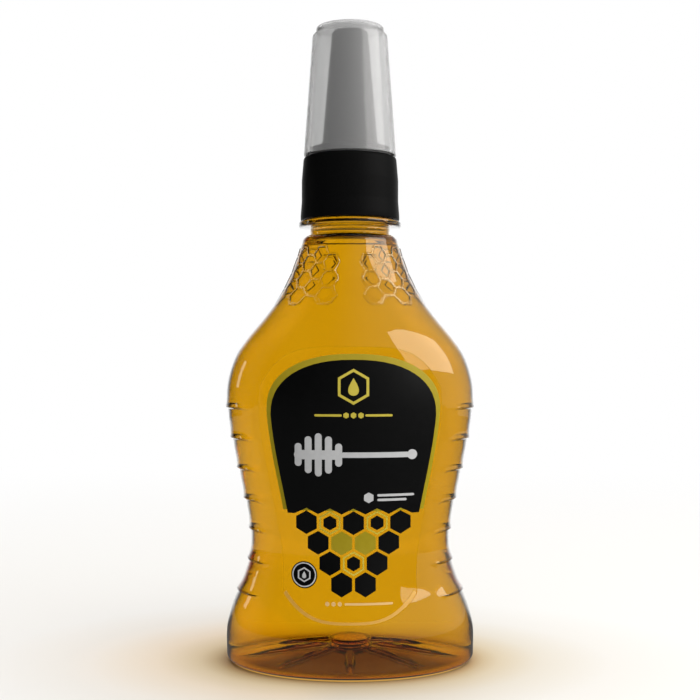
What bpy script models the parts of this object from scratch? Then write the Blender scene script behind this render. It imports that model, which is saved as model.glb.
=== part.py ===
"""A squeeze bottle of honey: a clear oval bottle, its honey and label, and a closure of a black screw collar,
a grey spout, a seal ring and a clear overcap.

Metres, +Z up. The bottle stands on the XY plane with its axis on Z and its label facing -Y.
"""

from math import cos, pi, radians, sin

import bmesh
import bpy
from mathutils import Vector

# Body, with heights measured up from the table and widths and depths over all
BODY_HEIGHT = 0.1136
FOOT_HEIGHT = 0.0085
WAIST_HEIGHT = 0.0322
WIDEST_HEIGHT = 0.0705
FOOT_WIDTH = 0.0674
FOOT_DEPTH = 0.0478
WAIST_WIDTH = 0.0542
WAIST_DEPTH = 0.0385
WIDEST_WIDTH = 0.0676
WIDEST_DEPTH = 0.0448
SHOULDER_TOP_DIAMETER = 0.0264
SHOULDER_EDGE_RISE = 0.0022
WALL = 0.0008

# Base
HEEL_RADIUS = 0.0020
STAND_WIDTH = 0.0030
PUSH_UP_HEIGHT = 0.0052
KNOB_DIAMETER = 0.0090
KNOB_HEIGHT = 0.0016

# Grip ribs on both sides
RIB_COUNT = 7
TOP_RIB_HEIGHT = 0.0690
RIB_PITCH = 0.00825
RIB_THICKNESS = 0.0014
RIB_RISE = 0.0005

# Neck finish
NECK_DIAMETER = 0.0217
NECK_BORE = 0.0176
NECK_LENGTH = 0.0020
RING_DIAMETER = 0.0281
RING_THICKNESS = 0.0018
RING_EDGE = 0.0005
FINISH_HEIGHT = 0.0128
MOUTH_EDGE = 0.0004

# Screw thread between the neck and the collar
THREAD_PITCH = 0.003175
NECK_THREAD_DEPTH = 0.0009
THREAD_CREST_WIDTH = 0.0007
THREAD_BELOW_MOUTH = 0.0021
THREAD_BURY = 0.0005
NECK_THREAD_TURNS = 1.5
COLLAR_THREAD_TURNS = 1.0

# Label and the shallow panel it lies in
LABEL_BOTTOM_HEIGHT = 0.0140
LABEL_TOP_HEIGHT = 0.0852
LABEL_WIDTH = 0.0480
LABEL_TOP_DROP = 0.0106
LABEL_BOTTOM_RISE = 0.0071
LABEL_FILM = 0.0002
PANEL_DEPTH = 0.0003
PANEL_MARGIN = 0.0004

# Collar
COLLAR_DIAMETER = 0.0271
COLLAR_GRIP_DIAMETER = 0.0265
COLLAR_TOP_DIAMETER = 0.0254
COLLAR_TAPER_HEIGHT = 0.0065
COLLAR_HEM_HEIGHT = 0.0030
COLLAR_EDGE = 0.0009
COLLAR_LIP = 0.0014
THREAD_CLEARANCE = 0.00035

# Seal ring and spout
SEAL_THICKNESS = 0.0010
FLANGE_THICKNESS = 0.0016
FLANGE_OVERLAP = 0.00045
SEAT_HEIGHT = 0.0022
SPOUT_HEIGHT = 0.0324
SPOUT_FLARE_HEIGHT = 0.0034
SPOUT_BASE_DIAMETER = 0.0154
SPOUT_TIP_DIAMETER = 0.0098
SPOUT_TIP_EDGE = 0.0009
SPOUT_WALL = 0.0012
SPOUT_ORIFICE = 0.0064
SPOUT_TIP_WALL = 0.0010
PLUG_LENGTH = 0.0042

# Overcap
OVERCAP_DIAMETER = 0.0254
OVERCAP_SHOULDER_DIAMETER = 0.0206
OVERCAP_RIM_DIAMETER = 0.0188
OVERCAP_TOP_DIAMETER = 0.0184
OVERCAP_CHAMFER_HEIGHT = 0.0011
OVERCAP_CROWN_HEIGHT = 0.0013
OVERCAP_WALL = 0.0009
OVERCAP_CEILING = 0.0006
TIP_CLEARANCE = 0.0003

# Clearances shared by all pieces
FIT_GAP = 0.0003
HONEY_BELOW_MOUTH = 0.0114
CUT_OVERRUN = 0.0010
MERGE_DISTANCE = 0.00001

# Smoothness
ROUND_SEGMENTS = 40
TURNED_SEGMENTS = 32
INNER_RINGS = 15
SHOULDER_RINGS = 10
FOOT_RINGS = 4
EDGE_STEPS = 3
LABEL_ROWS = 12
LABEL_COLUMNS = 14

# The body's outline between its named stations: share of the rise, share of the change in half width,
# share of the change in half depth
FOOT_TO_WAIST_SHARES = ((0.21, 0.15, 0.15), (0.43, 0.43, 0.43), (0.64, 0.74, 0.74), (0.86, 0.94, 0.94))
WAIST_TO_WIDEST_SHARES = ((0.17, 0.09, 0.09), (0.38, 0.34, 0.34), (0.57, 0.58, 0.58), (0.78, 0.83, 0.83))
WIDEST_TO_TOP_SHARES = (
    (0.14, 0.02, 0.01),
    (0.29, 0.125, 0.075),
    (0.40, 0.28, 0.18),
    (0.52, 0.488, 0.335),
    (0.63, 0.66, 0.50),
    (0.78, 0.835, 0.735),
    (0.92, 0.945, 0.92),
)

# The label's sides, from its lower to its upper corners: share of the way up, share of the part of the body's
# width that it covers where the body is widest
LABEL_SIDE_SHARES = ((0.00, 0.82), (0.27, 0.94), (0.55, 0.985), (0.75, 1.00), (0.89, 1.00), (1.00, 0.99))
# How its top and bottom arcs fall to the corners
LABEL_TOP_POWER = 4.5
LABEL_BOTTOM_POWER = 3.2

# Ribs are full at the sides and gone where the cosine of the angle round the body falls to this share
RIB_FADE_SHARE = 0.74
# The push-up's slope: share of the way out to the stand ring, share of the push-up's height
PUSH_UP_SLOPE_SHARES = ((0.30, 0.52), (0.70, 0.22))
# The spout's flare: share of its way in, share of its rise
FLARE_SHARES = ((0.35, 0.06), (0.70, 0.25), (0.90, 0.55))
# A thread rises to full depth over this share of a turn, from this share of its depth, which is inside the wall
THREAD_RUN_IN_SHARE = 0.1
THREAD_START_SHARE = 0.2
# Half the thread's width gained for each unit of depth
THREAD_FLANK_SHARE = 0.667

# Heights of the closure's stack
RING_BOTTOM = BODY_HEIGHT + SHOULDER_EDGE_RISE + NECK_LENGTH
RING_TOP = RING_BOTTOM + RING_THICKNESS
MOUTH_HEIGHT = RING_TOP + FINISH_HEIGHT
SEAL_BOTTOM = MOUTH_HEIGHT + FIT_GAP
FLANGE_BOTTOM = SEAL_BOTTOM + SEAL_THICKNESS + FIT_GAP
LIP_BOTTOM = FLANGE_BOTTOM + FLANGE_THICKNESS + FIT_GAP
COLLAR_BOTTOM = RING_TOP + FIT_GAP
COLLAR_TOP = LIP_BOTTOM + COLLAR_LIP
SEAT_TOP = COLLAR_TOP + SEAT_HEIGHT
SPOUT_TOP = SEAT_TOP + SPOUT_HEIGHT
OVERCAP_BOTTOM = COLLAR_TOP + FIT_GAP
CEILING_HEIGHT = SPOUT_TOP + TIP_CLEARANCE
OVERCAP_TOP = CEILING_HEIGHT + OVERCAP_CEILING

# Radii that one piece takes from another
THREAD_CREST_RADIUS = NECK_DIAMETER / 2 + NECK_THREAD_DEPTH
COLLAR_BORE_RADIUS = THREAD_CREST_RADIUS + THREAD_CLEARANCE
COLLAR_CREST_RADIUS = NECK_DIAMETER / 2 + THREAD_CLEARANCE
FLANGE_RADIUS = COLLAR_BORE_RADIUS - FIT_GAP
LIP_RADIUS = FLANGE_RADIUS - FLANGE_OVERLAP
SEAT_RADIUS = LIP_RADIUS - FIT_GAP
PLUG_RADIUS = NECK_BORE / 2 - FIT_GAP
SEAL_INNER_RADIUS = PLUG_RADIUS + FIT_GAP
SEAL_OUTER_RADIUS = FLANGE_RADIUS - FIT_GAP
OVERCAP_BORE_RADIUS = SEAT_RADIUS + FIT_GAP
NECK_THREAD_START = MOUTH_HEIGHT - THREAD_BELOW_MOUTH - NECK_THREAD_TURNS * THREAD_PITCH


def clear_scene():
    for old in list(bpy.data.objects):
        bpy.data.objects.remove(old, do_unlink=True)


def make_collection(name):
    group = bpy.data.collections.new(name)
    bpy.context.scene.collection.children.link(group)
    return group


def make_material(name, color, roughness, metallic=0.0, alpha=1.0, transmission=0.0):
    material = bpy.data.materials.new(name)
    material.use_nodes = True
    shader = material.node_tree.nodes["Principled BSDF"]
    shader.inputs["Base Color"].default_value = (*color, 1.0)
    shader.inputs["Roughness"].default_value = roughness
    shader.inputs["Metallic"].default_value = metallic
    shader.inputs["Alpha"].default_value = alpha
    shader.inputs["Transmission Weight"].default_value = transmission
    return material


def add_object(name, mesh, group, material=None, height=0.0):
    """Link a mesh as an object whose origin is on the bottle's axis at the given height."""
    piece = bpy.data.objects.new(name, mesh)
    piece.location = (0.0, 0.0, height)
    group.objects.link(piece)
    if material:
        mesh.materials.append(material)
    return piece


def add_guide(name, mesh, group):
    """Link a mesh that only cuts or is joined to another one."""
    guide = add_object(name, mesh, group)
    guide.hide_render = True
    guide.display_type = "WIRE"
    return guide


def add_boolean(piece, guide, operation):
    modifier = piece.modifiers.new(guide.name, "BOOLEAN")
    modifier.operation = operation
    modifier.solver = "EXACT"
    modifier.object = guide


def shade_round(mesh):
    mesh.shade_smooth()
    mesh.set_sharp_from_angle(angle=radians(35))


def mesh_from(bm, name):
    mesh = bpy.data.meshes.new(name)
    bm.to_mesh(mesh)
    bm.free()
    shade_round(mesh)
    return mesh


def curve_through(points, height):
    """The smooth curve through points of (height, value), read at one height."""
    slopes = []
    for place in range(len(points)):
        low = points[max(place - 1, 0)]
        high = points[min(place + 1, len(points) - 1)]
        slopes.append((high[1] - low[1]) / (high[0] - low[0]))
    if height <= points[0][0]:
        return points[0][1]
    for (low, high, slope_low, slope_high) in zip(points, points[1:], slopes, slopes[1:]):
        if height <= high[0]:
            span = high[0] - low[0]
            t = (height - low[0]) / span
            return (
                (1 + 2 * t) * (1 - t) ** 2 * low[1]
                + t * (1 - t) ** 2 * span * slope_low
                + t * t * (3 - 2 * t) * high[1]
                - t * t * (1 - t) * span * slope_high
            )
    return points[-1][1]


def outline_points(column):
    """The body's stations as (height, half size): column 1 for its width, column 2 for its depth."""
    foot, waist, widest = (
        (FOOT_WIDTH, WAIST_WIDTH, WIDEST_WIDTH) if column == 1 else (FOOT_DEPTH, WAIST_DEPTH, WIDEST_DEPTH)
    )
    spans = (
        (FOOT_HEIGHT, foot, WAIST_HEIGHT, waist, FOOT_TO_WAIST_SHARES),
        (WAIST_HEIGHT, waist, WIDEST_HEIGHT, widest, WAIST_TO_WIDEST_SHARES),
        (WIDEST_HEIGHT, widest, BODY_HEIGHT, SHOULDER_TOP_DIAMETER, WIDEST_TO_TOP_SHARES),
    )
    points = [(HEEL_RADIUS, foot / 2)]
    for low, low_size, high, high_size, shares in spans:
        points.append((low, low_size / 2))
        for share in shares:
            half_size = low_size / 2 + (high_size - low_size) / 2 * share[column]
            points.append((low + (high - low) * share[0], half_size))
    points.append((BODY_HEIGHT, SHOULDER_TOP_DIAMETER / 2))
    return points


WIDTH_POINTS = outline_points(1)
DEPTH_POINTS = outline_points(2)


def half_width(height):
    return curve_through(WIDTH_POINTS, height)


def half_depth(height):
    return curve_through(DEPTH_POINTS, height)


def base_rings(inset):
    """Oval rings (half width, half depth, height) from the base's centre out to the top of the heel, on the
    surface that lies inset above the bottle's underside."""
    knob = KNOB_DIAMETER / 2 + inset
    stand_width = FOOT_WIDTH / 2 - HEEL_RADIUS
    stand_depth = FOOT_DEPTH / 2 - HEEL_RADIUS
    rings = [
        (0.0, 0.0, PUSH_UP_HEIGHT + inset),
        (knob, knob, PUSH_UP_HEIGHT + inset),
        (knob, knob, PUSH_UP_HEIGHT - KNOB_HEIGHT + inset),
    ]
    for out_share, rise_share in PUSH_UP_SLOPE_SHARES:
        rings.append(
            (
                knob + (stand_width - STAND_WIDTH - knob) * out_share,
                knob + (stand_depth - STAND_WIDTH - knob) * out_share,
                PUSH_UP_HEIGHT * rise_share + inset,
            )
        )
    rings.append((stand_width - STAND_WIDTH, stand_depth - STAND_WIDTH, inset))
    for step in range(EDGE_STEPS + 1):
        angle = pi / 2 * step / EDGE_STEPS
        out = (HEEL_RADIUS - inset) * sin(angle)
        rings.append((stand_width + out, stand_depth + out, HEEL_RADIUS - (HEEL_RADIUS - inset) * cos(angle)))
    return rings


def shoulder_edge_rings(inset, end_radius):
    """The rounded edge from the shoulder's top in to the neck."""
    rings = []
    for step in range(EDGE_STEPS + 1):
        angle = pi / 2 * step / EDGE_STEPS
        radius = end_radius + (SHOULDER_TOP_DIAMETER / 2 - inset - end_radius) * cos(angle)
        rings.append((radius, radius, BODY_HEIGHT - inset + SHOULDER_EDGE_RISE * sin(angle)))
    return rings


def wall_rings(inset):
    """Plain rings up the body between the heel and the shoulder's edge."""
    top = BODY_HEIGHT - inset
    rings = []
    for step in range(1, INNER_RINGS):
        height = HEEL_RADIUS + (top - HEEL_RADIUS) * step / INNER_RINGS
        rings.append((half_width(height) - inset, half_depth(height) - inset, height))
    return rings


def ribbed_rings():
    """Rings up the outside, three for each rib, with the rib's rise as the fourth value."""
    bottom_rib = TOP_RIB_HEIGHT - (RIB_COUNT - 1) * RIB_PITCH
    low_end = bottom_rib - RIB_THICKNESS / 2
    high_end = TOP_RIB_HEIGHT + RIB_THICKNESS / 2
    stations = []
    for step in range(1, FOOT_RINGS):
        stations.append((HEEL_RADIUS + (low_end - HEEL_RADIUS) * step / FOOT_RINGS, 0.0))
    for rib in range(RIB_COUNT):
        middle = bottom_rib + rib * RIB_PITCH
        stations += [(middle - RIB_THICKNESS / 2, 0.0), (middle, RIB_RISE), (middle + RIB_THICKNESS / 2, 0.0)]
    for step in range(1, SHOULDER_RINGS):
        stations.append((high_end + (BODY_HEIGHT - high_end) * step / SHOULDER_RINGS, 0.0))
    return [(half_width(height), half_depth(height), height, rise) for height, rise in stations]


def neck_rings():
    """Rings from the neck's foot over the support ring and the mouth, and down the bore."""
    neck = NECK_DIAMETER / 2
    ring = RING_DIAMETER / 2
    bore = NECK_BORE / 2
    places = (
        (neck, RING_BOTTOM),
        (ring - RING_EDGE, RING_BOTTOM),
        (ring, RING_BOTTOM + RING_EDGE),
        (ring, RING_TOP - RING_EDGE),
        (ring - RING_EDGE, RING_TOP),
        (neck, RING_TOP),
        (neck, MOUTH_HEIGHT - MOUTH_EDGE),
        (neck - MOUTH_EDGE, MOUTH_HEIGHT),
        (bore + MOUTH_EDGE, MOUTH_HEIGHT),
        (bore, MOUTH_HEIGHT - MOUTH_EDGE),
    )
    return [(radius, radius, height) for radius, height in places]


def loft(name, rings):
    """A closed solid through oval rings, from one point on the axis to another. A ring's fourth value, where it
    has one, swells the ring at the sides."""
    bm = bmesh.new()
    first = bm.verts.new((0.0, 0.0, rings[0][2]))
    last = bm.verts.new((0.0, 0.0, rings[-1][2]))
    loops = []
    for ring in rings[1:-1]:
        swell = ring[3] if len(ring) > 3 else 0.0
        loop = []
        for step in range(ROUND_SEGMENTS):
            angle = 2 * pi * step / ROUND_SEGMENTS
            fade = max(0.0, (abs(cos(angle)) - RIB_FADE_SHARE) / (1 - RIB_FADE_SHARE))
            rise = swell * min(1.0, 2 * fade)
            x = (ring[0] + rise) * cos(angle)
            y = (ring[1] + rise) * sin(angle)
            loop.append(bm.verts.new((x, y, ring[2])))
        loops.append(loop)
    for step in range(ROUND_SEGMENTS):
        after = (step + 1) % ROUND_SEGMENTS
        bm.faces.new((first, loops[0][after], loops[0][step]))
        for low, high in zip(loops, loops[1:]):
            bm.faces.new((low[step], low[after], high[after], high[step]))
        bm.faces.new((last, loops[-1][step], loops[-1][after]))
    return mesh_from(bm, name)


def thread_ridge(name, crest_radius, buried_radius, start_height, turns):
    """A right-hand helical ridge whose root is buried in the wall that carries it. Both ends run in to the wall."""
    bm = bmesh.new()
    steps = round(turns * ROUND_SEGMENTS)
    half_crest = THREAD_CREST_WIDTH / 2
    half_root = half_crest + abs(crest_radius - buried_radius) * THREAD_FLANK_SHARE
    loops = []
    for step in range(steps + 1):
        angle = 2 * pi * step / ROUND_SEGMENTS
        turn = step / ROUND_SEGMENTS
        height = start_height + THREAD_PITCH * turn
        run_in = min(turn, turns - turn) / THREAD_RUN_IN_SHARE
        full = min(1.0, THREAD_START_SHARE + (1 - THREAD_START_SHARE) * run_in)
        crest = buried_radius + (crest_radius - buried_radius) * full
        half_tip = half_root + (half_crest - half_root) * full
        places = ((buried_radius, -half_root), (crest, -half_tip), (crest, half_tip), (buried_radius, half_root))
        loops.append([bm.verts.new((r * cos(angle), r * sin(angle), height + z)) for r, z in places])
    for low, high in zip(loops, loops[1:]):
        for place in range(len(low)):
            after = (place + 1) % len(low)
            bm.faces.new((low[place], low[after], high[after], high[place]))
    bm.faces.new(loops[0])
    bm.faces.new(loops[-1])
    bmesh.ops.recalc_face_normals(bm, faces=bm.faces)
    return mesh_from(bm, name)


def label_place(across_share, up_share, margin):
    """A point of the label's sheet as (x, height): across from -1 to 1, up from 0 to 1."""
    low_corner = LABEL_BOTTOM_HEIGHT + LABEL_BOTTOM_RISE
    high_corner = LABEL_TOP_HEIGHT - LABEL_TOP_DROP
    body = half_width(low_corner + (high_corner - low_corner) * up_share)
    half_size = curve_through(LABEL_SIDE_SHARES, up_share) * body * LABEL_WIDTH / WIDEST_WIDTH + margin
    top = LABEL_TOP_HEIGHT + margin - LABEL_TOP_DROP * abs(across_share) ** LABEL_TOP_POWER
    bottom = LABEL_BOTTOM_HEIGHT - margin + LABEL_BOTTOM_RISE * abs(across_share) ** LABEL_BOTTOM_POWER
    return across_share * half_size, bottom + (top - bottom) * up_share


def surface_point(x, height, lift):
    """A point on the body's front at a sideways place x, lifted off the surface."""
    wide = half_width(height)
    deep = half_depth(height)
    share = min(max(x / wide, -1.0), 1.0)
    y = -deep * (1 - share * share) ** 0.5
    outward = Vector((x / wide ** 2, y / deep ** 2, 0.0)).normalized()
    return Vector((x, y, height)) + outward * lift


def front_patch(name, margin, low_lift, high_lift):
    """A closed sheet over the label's outline, grown by margin, between two lifts off the body's surface."""
    bm = bmesh.new()
    sides = []
    for lift in (low_lift, high_lift):
        rows = []
        for row in range(LABEL_ROWS + 1):
            columns = []
            for column in range(LABEL_COLUMNS + 1):
                across = -cos(pi * column / LABEL_COLUMNS)
                x, height = label_place(across, row / LABEL_ROWS, margin)
                columns.append(bm.verts.new(surface_point(x, height, lift)))
            rows.append(columns)
        sides.append(rows)
    for rows in sides:
        for low, high in zip(rows, rows[1:]):
            for column in range(LABEL_COLUMNS):
                bm.faces.new((low[column], low[column + 1], high[column + 1], high[column]))
    inner, outer = (outline_of(rows) for rows in sides)
    for place in range(len(inner)):
        bm.faces.new((inner[place - 1], inner[place], outer[place], outer[place - 1]))
    bmesh.ops.recalc_face_normals(bm, faces=bm.faces)
    return mesh_from(bm, name)


def outline_of(rows):
    """The points round the edge of a grid, in order."""
    right = [row[-1] for row in rows[1:-1]]
    left = [row[0] for row in rows[1:-1]]
    return rows[0] + right + rows[-1][::-1] + left[::-1]


def turned(name, profile, group, material, height, segments, closed=True):
    """A turned piece: its profile of (radius, height) spun by a Screw modifier, down its outer side first."""
    bm = bmesh.new()
    points = [bm.verts.new((radius, 0.0, z)) for radius, z in profile]
    for start, end in zip(points, points[1:]):
        bm.edges.new((start, end))
    if closed:
        bm.edges.new((points[-1], points[0]))
    mesh = bpy.data.meshes.new(name)
    bm.to_mesh(mesh)
    bm.free()
    piece = add_object(name, mesh, group, material, height)
    screw = piece.modifiers.new("turn", "SCREW")
    screw.axis = "Z"
    screw.steps = segments
    screw.render_steps = segments
    screw.use_merge_vertices = True
    screw.merge_threshold = MERGE_DISTANCE
    screw.use_smooth_shade = True
    return piece


def rounded_corner(radius, height, edge, steps):
    """Points round an outer top corner, from the top face out and down."""
    return [
        (radius - edge + edge * sin(pi / 2 * step / steps), height - edge + edge * cos(pi / 2 * step / steps))
        for step in range(steps + 1)
    ]


def make_bottle(parts, cutters):
    clear = make_material("clear_pet", (0.93, 0.93, 0.90), 0.05, alpha=0.35, transmission=0.9)
    outside = base_rings(0.0) + ribbed_rings() + shoulder_edge_rings(0.0, NECK_DIAMETER / 2) + neck_rings()
    inside = base_rings(WALL) + wall_rings(WALL) + shoulder_edge_rings(WALL, NECK_BORE / 2)
    bottle = add_object("bottle", loft("bottle", outside + inside[::-1]), parts, clear)
    ridge = thread_ridge(
        "neck_thread",
        THREAD_CREST_RADIUS,
        NECK_DIAMETER / 2 - THREAD_BURY,
        NECK_THREAD_START,
        NECK_THREAD_TURNS,
    )
    add_boolean(bottle, add_guide("neck_thread_guide", ridge, cutters), "UNION")
    panel = front_patch("label_panel", PANEL_MARGIN, -PANEL_DEPTH, CUT_OVERRUN)
    add_boolean(bottle, add_guide("label_panel_cutter", panel, cutters), "DIFFERENCE")
    return bottle


def make_honey(parts):
    amber = make_material("honey", (0.80, 0.42, 0.02), 0.05, alpha=0.9, transmission=0.5)
    inset = WALL + FIT_GAP
    bore = NECK_BORE / 2 - FIT_GAP
    level = MOUTH_HEIGHT - HONEY_BELOW_MOUTH
    rings = base_rings(inset) + wall_rings(inset) + shoulder_edge_rings(inset, bore)
    rings += [(bore, bore, level), (0.0, 0.0, level)]
    return add_object("honey", loft("honey", rings), parts, amber)


def make_label(parts):
    film = make_material("label_film", (0.03, 0.03, 0.03), 0.35)
    return add_object("front_label", front_patch("front_label", 0.0, 0.0, LABEL_FILM), parts, film)


def make_collar(parts, cutters):
    black = make_material("black_plastic", (0.012, 0.012, 0.013), 0.38)
    height = COLLAR_TOP - COLLAR_BOTTOM
    top = COLLAR_TOP_DIAMETER / 2
    grip = COLLAR_GRIP_DIAMETER / 2
    hem = COLLAR_DIAMETER / 2
    profile = [(LIP_RADIUS, height)]
    profile += rounded_corner(top, height, COLLAR_EDGE, EDGE_STEPS)
    profile += [
        (grip, height - COLLAR_TAPER_HEIGHT),
        (grip, 2 * COLLAR_HEM_HEIGHT),
        (hem, COLLAR_HEM_HEIGHT / 2),
        (hem, 0.0),
        (COLLAR_BORE_RADIUS, 0.0),
        (COLLAR_BORE_RADIUS, LIP_BOTTOM - COLLAR_BOTTOM),
        (LIP_RADIUS, LIP_BOTTOM - COLLAR_BOTTOM),
    ]
    collar = turned("collar", profile, parts, black, COLLAR_BOTTOM, ROUND_SEGMENTS)
    ridge = thread_ridge(
        "collar_thread",
        COLLAR_CREST_RADIUS,
        COLLAR_BORE_RADIUS + THREAD_BURY,
        NECK_THREAD_START - THREAD_PITCH / 2 - COLLAR_BOTTOM,
        COLLAR_THREAD_TURNS,
    )
    guide = add_guide("collar_thread_guide", ridge, cutters)
    guide.location = collar.location
    add_boolean(collar, guide, "UNION")
    return collar


def make_seal_ring(parts):
    foam = make_material("seal_foam", (0.85, 0.85, 0.82), 0.7)
    profile = [
        (SEAL_INNER_RADIUS, SEAL_THICKNESS),
        (SEAL_OUTER_RADIUS, SEAL_THICKNESS),
        (SEAL_OUTER_RADIUS, 0.0),
        (SEAL_INNER_RADIUS, 0.0),
    ]
    return turned("seal_ring", profile, parts, foam, SEAL_BOTTOM, TURNED_SEGMENTS)


def make_spout(parts):
    """The spout's origin is at its flange's underside, on the axis that the collar turns about."""
    grey = make_material("grey_plastic", (0.36, 0.36, 0.37), 0.42)
    tip = SPOUT_TOP - FLANGE_BOTTOM
    seat = SEAT_TOP - FLANGE_BOTTOM
    base = SPOUT_BASE_DIAMETER / 2
    profile = [(SPOUT_ORIFICE / 2, tip)]
    profile += rounded_corner(SPOUT_TIP_DIAMETER / 2, tip, SPOUT_TIP_EDGE, EDGE_STEPS)
    profile.append((base, seat + SPOUT_FLARE_HEIGHT))
    for in_share, rise_share in reversed(FLARE_SHARES):
        profile.append((SEAT_RADIUS + (base - SEAT_RADIUS) * in_share, seat + SPOUT_FLARE_HEIGHT * rise_share))
    profile += [
        (SEAT_RADIUS, seat),
        (SEAT_RADIUS, FLANGE_THICKNESS),
        (FLANGE_RADIUS, FLANGE_THICKNESS),
        (FLANGE_RADIUS, 0.0),
        (PLUG_RADIUS, 0.0),
        (PLUG_RADIUS, -PLUG_LENGTH),
        (PLUG_RADIUS - SPOUT_WALL, -PLUG_LENGTH),
        (PLUG_RADIUS - SPOUT_WALL, FLANGE_THICKNESS),
        (base - SPOUT_WALL, seat + SPOUT_FLARE_HEIGHT),
        (SPOUT_TIP_DIAMETER / 2 - SPOUT_WALL, tip - SPOUT_TIP_EDGE - SPOUT_TIP_WALL),
        (SPOUT_ORIFICE / 2, tip - SPOUT_TIP_WALL),
    ]
    return turned("spout", profile, parts, grey, FLANGE_BOTTOM, TURNED_SEGMENTS)


def make_overcap(parts):
    frosted = make_material("clear_plastic", (0.85, 0.86, 0.86), 0.2, alpha=0.35, transmission=0.8)
    top = OVERCAP_TOP - OVERCAP_BOTTOM
    shoulder = top - OVERCAP_CROWN_HEIGHT - OVERCAP_CHAMFER_HEIGHT
    rim = top - OVERCAP_CROWN_HEIGHT
    ceiling = CEILING_HEIGHT - OVERCAP_BOTTOM
    profile = [
        (0.0, top),
        (OVERCAP_TOP_DIAMETER / 2, top),
        (OVERCAP_RIM_DIAMETER / 2, rim),
        (OVERCAP_SHOULDER_DIAMETER / 2, shoulder),
        (OVERCAP_DIAMETER / 2, 0.0),
        (OVERCAP_BORE_RADIUS, 0.0),
        (OVERCAP_BORE_RADIUS, SEAT_HEIGHT),
        (OVERCAP_SHOULDER_DIAMETER / 2 - OVERCAP_WALL, shoulder),
        (OVERCAP_RIM_DIAMETER / 2 - OVERCAP_WALL, rim),
        (OVERCAP_TOP_DIAMETER / 2 - OVERCAP_WALL, ceiling),
        (0.0, ceiling),
    ]
    return turned("overcap", profile, parts, frosted, OVERCAP_BOTTOM, TURNED_SEGMENTS, closed=False)


def main():
    clear_scene()
    parts = make_collection("honey_squeeze_bottle")
    cutters = make_collection("cutters")
    make_bottle(parts, cutters)
    make_honey(parts)
    make_label(parts)
    make_collar(parts, cutters)
    make_seal_ring(parts)
    make_spout(parts)
    make_overcap(parts)


main()
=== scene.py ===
"""The looks of the honey squeeze bottle: a clear ribbed bottle full of honey, its label, and its closure.

Metres, +Z up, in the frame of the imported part. The label faces -Y.
"""

from math import acos, cos, pi, radians, sin, sqrt

import bmesh
import bpy
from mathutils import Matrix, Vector


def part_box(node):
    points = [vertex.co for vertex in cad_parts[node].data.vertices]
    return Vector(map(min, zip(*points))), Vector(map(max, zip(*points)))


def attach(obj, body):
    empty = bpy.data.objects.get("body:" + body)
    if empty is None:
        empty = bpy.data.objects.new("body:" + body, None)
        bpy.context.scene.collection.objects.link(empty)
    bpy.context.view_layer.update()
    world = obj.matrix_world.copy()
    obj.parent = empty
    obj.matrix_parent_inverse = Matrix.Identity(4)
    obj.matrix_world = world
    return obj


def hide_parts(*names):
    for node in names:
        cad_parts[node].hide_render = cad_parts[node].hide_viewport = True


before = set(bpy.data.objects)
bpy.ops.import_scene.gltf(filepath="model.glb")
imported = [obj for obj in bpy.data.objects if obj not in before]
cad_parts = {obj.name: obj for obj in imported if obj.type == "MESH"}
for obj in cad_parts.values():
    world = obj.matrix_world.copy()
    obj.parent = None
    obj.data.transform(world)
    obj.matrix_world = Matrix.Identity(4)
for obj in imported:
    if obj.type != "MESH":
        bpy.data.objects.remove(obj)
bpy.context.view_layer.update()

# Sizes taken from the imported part
BOTTLE_LOW, BOTTLE_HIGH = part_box("bottle")
HONEY_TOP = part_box("honey")[1].z
COLLAR_LOW, COLLAR_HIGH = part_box("collar")
SEAL_LOW, SEAL_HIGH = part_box("seal_ring")
SPOUT_LOW, SPOUT_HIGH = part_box("spout")
OVERCAP_LOW, OVERCAP_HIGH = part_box("overcap")
MOUTH_HEIGHT = BOTTLE_HIGH.z
FOOT_DEPTH = BOTTLE_HIGH.y - BOTTLE_LOW.y

# Body, with heights from the table and widths and depths over all
BODY_HEIGHT = 0.1136
FOOT_HEIGHT = 0.0085
WAIST_HEIGHT = 0.0322
WIDEST_HEIGHT = 0.0705
FOOT_WIDTH = 0.0674
WAIST_WIDTH = 0.0542
WAIST_DEPTH = 0.0385
WIDEST_WIDTH = 0.0676
WIDEST_DEPTH = 0.0448
SHOULDER_TOP_DIAMETER = 0.0264
SHOULDER_EDGE_RISE = 0.0022
WALL = 0.0008

# Shares of the outline between those stations: of the rise, of the half width, of the half depth
FOOT_TO_WAIST_SHARES = ((0.21, 0.15, 0.15), (0.43, 0.43, 0.43), (0.64, 0.74, 0.74), (0.86, 0.94, 0.94))
WAIST_TO_WIDEST_SHARES = ((0.17, 0.09, 0.09), (0.38, 0.34, 0.34), (0.57, 0.58, 0.58), (0.78, 0.83, 0.83))
WIDEST_TO_TOP_SHARES = (
    (0.14, 0.02, 0.01), (0.29, 0.125, 0.075), (0.40, 0.28, 0.18), (0.52, 0.488, 0.335), (0.63, 0.66, 0.50),
    (0.78, 0.835, 0.735), (0.92, 0.945, 0.92),
)

# Base: heel, stand ring, and a push-up with a knob and radial ridges
HEEL_RADIUS = 0.0020
STAND_WIDTH = 0.0030
PUSH_UP_HEIGHT = 0.0052
KNOB_DIAMETER = 0.0090
KNOB_HEIGHT = 0.0016
KNOB_EDGE = 0.0005
PUSH_UP_SLOPE_SHARES = ((0.0, 1 - KNOB_HEIGHT / PUSH_UP_HEIGHT), (0.30, 0.52), (0.70, 0.22), (1.0, 0.0))
PUSH_UP_RINGS = 16
RIDGE_COUNT = 8
RIDGE_LIFT = 0.0007
RIDGE_HALF_WIDTH = 0.0005
RIDGE_FOOT_HALF_WIDTH = 0.0010
# Shares of the way from the knob to the stand ring, where a ridge has come up and where it runs out
RIDGE_START_SHARE = 0.12
RIDGE_END_SHARES = (0.62, 0.92)

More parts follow.
